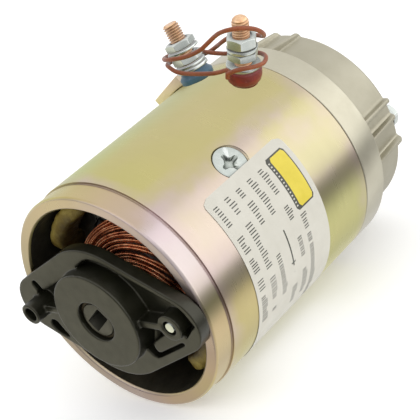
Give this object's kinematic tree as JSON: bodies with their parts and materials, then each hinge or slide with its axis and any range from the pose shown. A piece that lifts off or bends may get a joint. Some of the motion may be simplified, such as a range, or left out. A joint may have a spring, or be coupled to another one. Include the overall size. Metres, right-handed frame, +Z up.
{
  "type": "direct-current electric motor",
  "caption": "Round steel-bodied direct-current motor with open flanged drive end, slotted coupling, two stud terminals and ribbed cast rear cover.",
  "frame": {"origin": "on the shaft axis, in the plane of the yoke's drive-end face", "axes": "+Y along the shaft from the drive end to the rear cover, +Z up towards the terminals, through-bolts on +X and -X"},
  "size_m": [0.1125, 0.1853, 0.1421],
  "materials": {
    "zinc_yellow": "satin yellow-passivated zinc plate on steel",
    "zinc_clear": "bright clear-passivated zinc plate",
    "steel": "ground plain steel",
    "black_steel": "oil-blackened steel",
    "cast_aluminium": "fine as-cast aluminium",
    "black_plastic": "moulded glass-filled plastic, satin",
    "copper": "bare copper, slightly tarnished",
    "enamel_copper": "enamelled copper wire under varnish",
    "taped_coil": "varnished cloth tape",
    "lamination": "stacked electrical sheet",
    "bronze": "sintered bronze",
    "brass": "folded brass strip",
    "carbon": "copper-graphite brush",
    "board": "laminated phenolic board",
    "blue_nylon": "moulded nylon",
    "red_nylon": "moulded nylon",
    "wire_sleeve": "smooth plastic insulation",
    "label_film": "printed plastic film"
  },
  "bodies": {
    "frame": {"bearing_outer_ring": "steel", "bearing_shield": "zinc_clear", "bolt_washer_left": "zinc_clear", "bolt_washer_right": "zinc_clear", "brush_holder_1": "brass", "brush_holder_2": "brass", "brush_holder_3": "brass", "brush_holder_4": "brass", "brush_plate": "board", "brush_spring_1": "steel", "brush_spring_2": "steel", "brush_spring_3": "steel", "brush_spring_4": "steel", "drive_bush": "bronze", "drive_end_bracket": "black_plastic", "field_coil_1": "taped_coil", "field_coil_2": "taped_coil", "field_coil_3": "taped_coil", "field_coil_4": "taped_coil", "flat_washer_negative": "zinc_clear", "flat_washer_positive": "zinc_clear", "insulating_collar_negative": "blue_nylon", "insulating_collar_positive": "red_nylon", "lower_nut_negative": "zinc_clear", "lower_nut_positive": "zinc_clear", "pole_screw_1": "zinc_clear", "pole_screw_2": "zinc_clear", "pole_screw_3": "zinc_clear", "pole_screw_4": "zinc_clear", "pole_shoe_1": "steel", "pole_shoe_2": "steel", "pole_shoe_3": "steel", "pole_shoe_4": "steel", "rating_label": "label_film", "rear_cover": "cast_aluminium", "relay_pad": "zinc_yellow", "spring_washer_negative": "zinc_clear", "spring_washer_positive": "zinc_clear", "terminal_stud_negative": "copper", "terminal_stud_positive": "copper", "terminal_wire": "wire_sleeve", "through_bolt_left": "zinc_clear", "through_bolt_right": "zinc_clear", "upper_nut_negative": "zinc_clear", "upper_nut_positive": "zinc_clear", "upper_washer_negative": "zinc_clear", "yoke": "zinc_yellow"},
    "rotor": {"armature_shaft": "steel", "armature_core": "lamination", "armature_winding": "enamel_copper", "commutator": "copper", "drive_coupling": "black_steel", "bearing_inner_ring": "steel"},
    "brush_1": {"brush_1": "carbon"},
    "brush_2": {"brush_2": "carbon"},
    "brush_3": {"brush_3": "carbon"},
    "brush_4": {"brush_4": "carbon"}
  },
  "joints": [
    {"name": "rotor_spin", "type": "hinge", "parent": "frame", "child": "rotor", "pos_m": [0, 0, 0], "axis": [0, 1, 0], "continuous": true},
    {"name": "brush_1_lift", "type": "slide", "parent": "frame", "child": "brush_1", "axis": [0.7071, 0, 0.7071], "range_m": [0, 0.0025], "stiffness_N_per_m": 800, "springref_m": -0.004, "deforming": ["brush_spring_1"]},
    {"name": "brush_2_lift", "type": "slide", "parent": "frame", "child": "brush_2", "axis": [0.7071, 0, -0.7071], "range_m": [0, 0.0025], "stiffness_N_per_m": 800, "springref_m": -0.004, "deforming": ["brush_spring_2"]},
    {"name": "brush_3_lift", "type": "slide", "parent": "frame", "child": "brush_3", "axis": [-0.7071, 0, -0.7071], "range_m": [0, 0.0025], "stiffness_N_per_m": 800, "springref_m": -0.004, "deforming": ["brush_spring_3"]},
    {"name": "brush_4_lift", "type": "slide", "parent": "frame", "child": "brush_4", "axis": [-0.7071, 0, 0.7071], "range_m": [0, 0.0025], "stiffness_N_per_m": 800, "springref_m": -0.004, "deforming": ["brush_spring_4"]}
  ]
}
